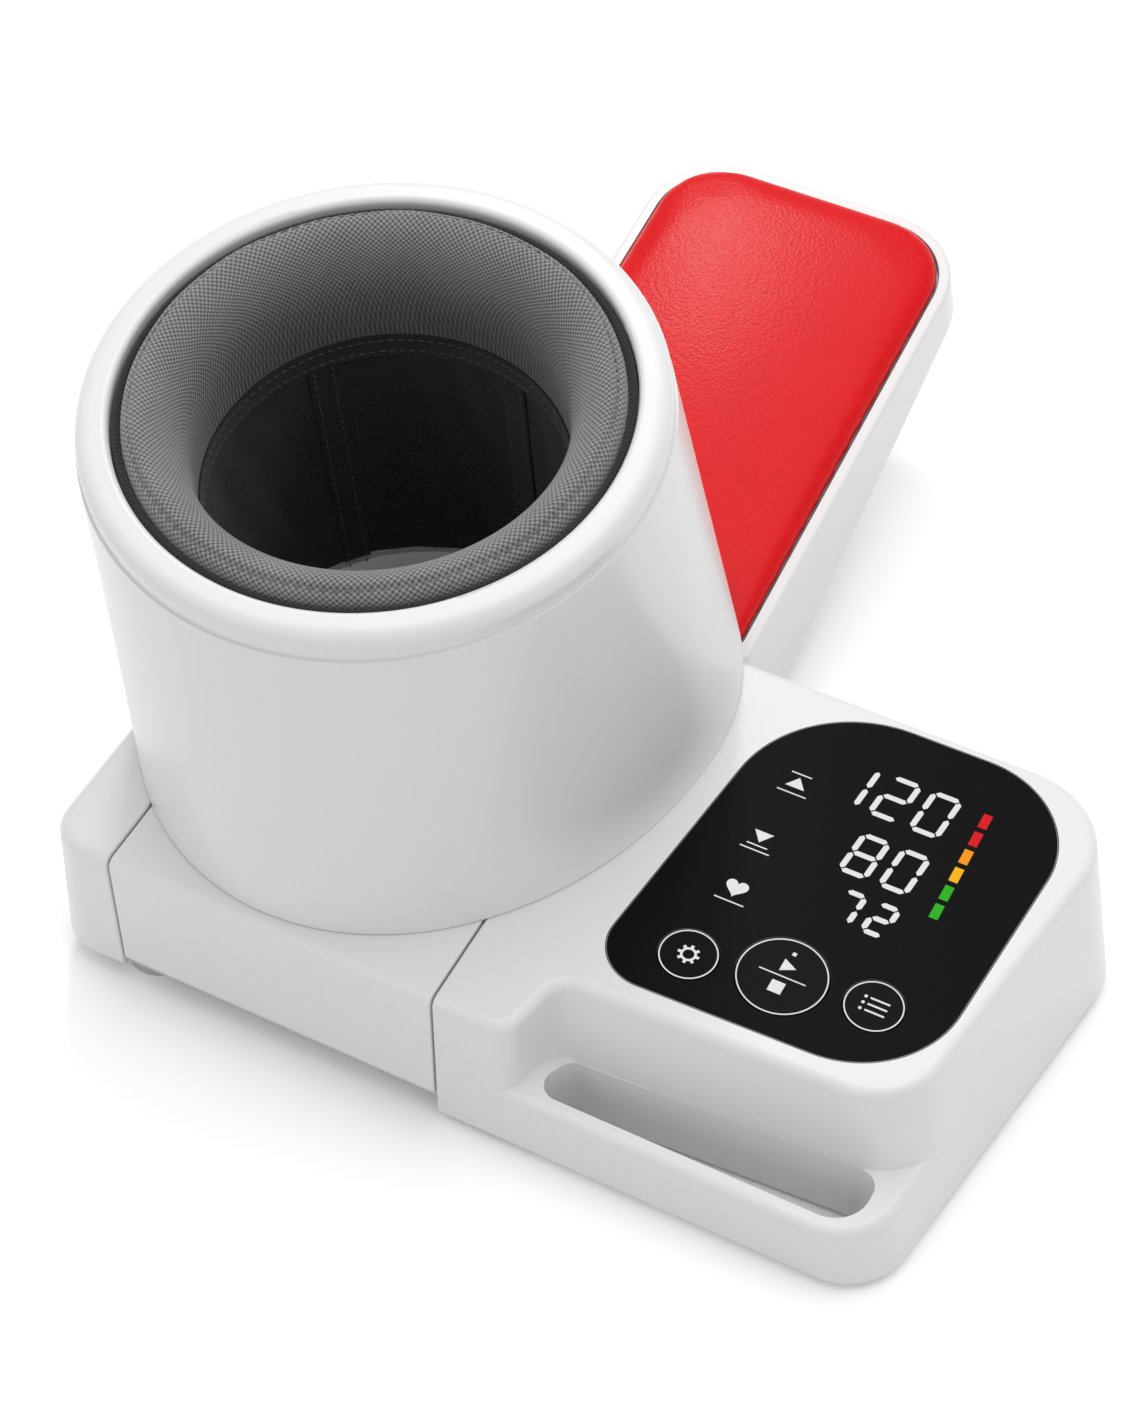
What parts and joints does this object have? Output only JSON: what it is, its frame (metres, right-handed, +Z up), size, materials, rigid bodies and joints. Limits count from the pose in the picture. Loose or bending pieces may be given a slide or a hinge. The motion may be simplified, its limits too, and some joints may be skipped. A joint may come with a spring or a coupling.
{
  "type": "arm-in blood pressure monitor",
  "caption": "Upright padded cuff drum on a tilting carriage, in a low base with a display console, carrying handle and a hinged, padded elbow rest.",
  "frame": {"origin": "on the table, below the middle of the monitor's bounding box", "axes": "+Z up, +X to the user's right, towards the display console, +Y away from the user, towards the elbow rest"},
  "size_m": [0.3296, 0.3801, 0.2165],
  "materials": {
    "white_plastic": "satin",
    "pan_plastic": "matt",
    "foot_rubber": "matt",
    "steel": "satin",
    "lens_plastic": "gloss",
    "lit_white": "lit",
    "lit_green": "lit",
    "lit_amber": "lit",
    "lit_red": "lit",
    "key_plastic": "gloss",
    "board_laminate": "matt",
    "black_plastic": "matt",
    "pump_metal": "satin",
    "foam": "matt",
    "hose_rubber": "matt",
    "cell_wrap": "gloss",
    "spring_steel": "bright",
    "cuff_fabric": "woven",
    "lining_fabric": "woven",
    "piping_fabric": "woven",
    "bladder_film": "satin",
    "red_leather": "fine grain",
    "cable_film": "matt",
    "washer_plastic": "matt"
  },
  "bodies": {
    "base": {"base_pan": "pan_plastic", "rubber_feet": "foot_rubber", "base_screws": "steel", "console_housing": "white_plastic", "left_housing": "white_plastic", "left_hinge_pin": "steel", "right_hinge_pin": "steel", "tilt_damper": "black_plastic", "friction_washers": "washer_plastic", "display_lens": "lens_plastic", "display_digits": "lit_white", "green_level_bars": "lit_green", "amber_level_bars": "lit_amber", "red_level_bars": "lit_red", "display_board": "board_laminate", "led_display_module": "black_plastic", "tact_switches": "black_plastic", "beeper": "black_plastic", "main_board": "board_laminate", "board_chips": "black_plastic", "pressure_sensor": "black_plastic", "display_cable": "cable_film", "air_pump": "pump_metal", "pump_cushion": "foam", "exhaust_valve": "pump_metal", "pump_hose": "hose_rubber", "valve_hose": "hose_rubber", "battery_box": "pan_plastic", "battery_cells": "cell_wrap", "battery_contacts": "spring_steel", "dc_inlet": "black_plastic", "rest_bracket": "steel", "bracket_screws": "steel", "rest_hinge_pin": "steel"},
    "drum": {"drum_carriage": "white_plastic", "drum_shell": "white_plastic", "rim_ring": "white_plastic", "inner_drum": "pan_plastic", "cuff_bladder": "bladder_film", "cuff_lining": "lining_fabric", "cuff_bolster": "cuff_fabric", "cuff_piping": "piping_fabric", "drum_floor": "pan_plastic", "drum_screws": "steel", "cuff_hose": "hose_rubber"},
    "arm_rest": {"rest_tray": "white_plastic", "rest_bottom_cover": "white_plastic", "rest_screws": "steel", "rest_bumpers": "foot_rubber", "pad_board": "pan_plastic", "rest_pad": "red_leather"},
    "set_key": {"set_key": "key_plastic"},
    "start_stop_key": {"start_stop_key": "key_plastic"},
    "memory_key": {"memory_key": "key_plastic"},
    "battery_door": {"battery_door": "white_plastic"}
  },
  "joints": [
    {"name": "drum_tilt", "type": "hinge", "parent": "base", "child": "drum", "pos_m": [-0.0654, -0.1745, 0.039], "axis": [1, 0, 0], "range_deg": [0, 45]},
    {"name": "arm_rest_fold", "type": "hinge", "parent": "base", "child": "arm_rest", "pos_m": [-0.045, -0.0025, 0.016], "axis": [1, 0, 0], "range_deg": [-20, 0]},
    {"name": "set_key_press", "type": "slide", "parent": "base", "child": "set_key", "axis": [0, 0, -1], "range_m": [0, 0.0006], "stiffness_N_per_m": 1500, "springref_m": -0.0002},
    {"name": "start_stop_key_press", "type": "slide", "parent": "base", "child": "start_stop_key", "axis": [0, 0, -1], "range_m": [0, 0.0006], "stiffness_N_per_m": 1500, "springref_m": -0.0002},
    {"name": "memory_key_press", "type": "slide", "parent": "base", "child": "memory_key", "axis": [0, 0, -1], "range_m": [0, 0.0006], "stiffness_N_per_m": 1500, "springref_m": -0.0002},
    {"name": "battery_door_pull", "type": "slide", "parent": "base", "child": "battery_door", "axis": [0, 1, 0], "range_m": [0, 0.008]}
  ]
}
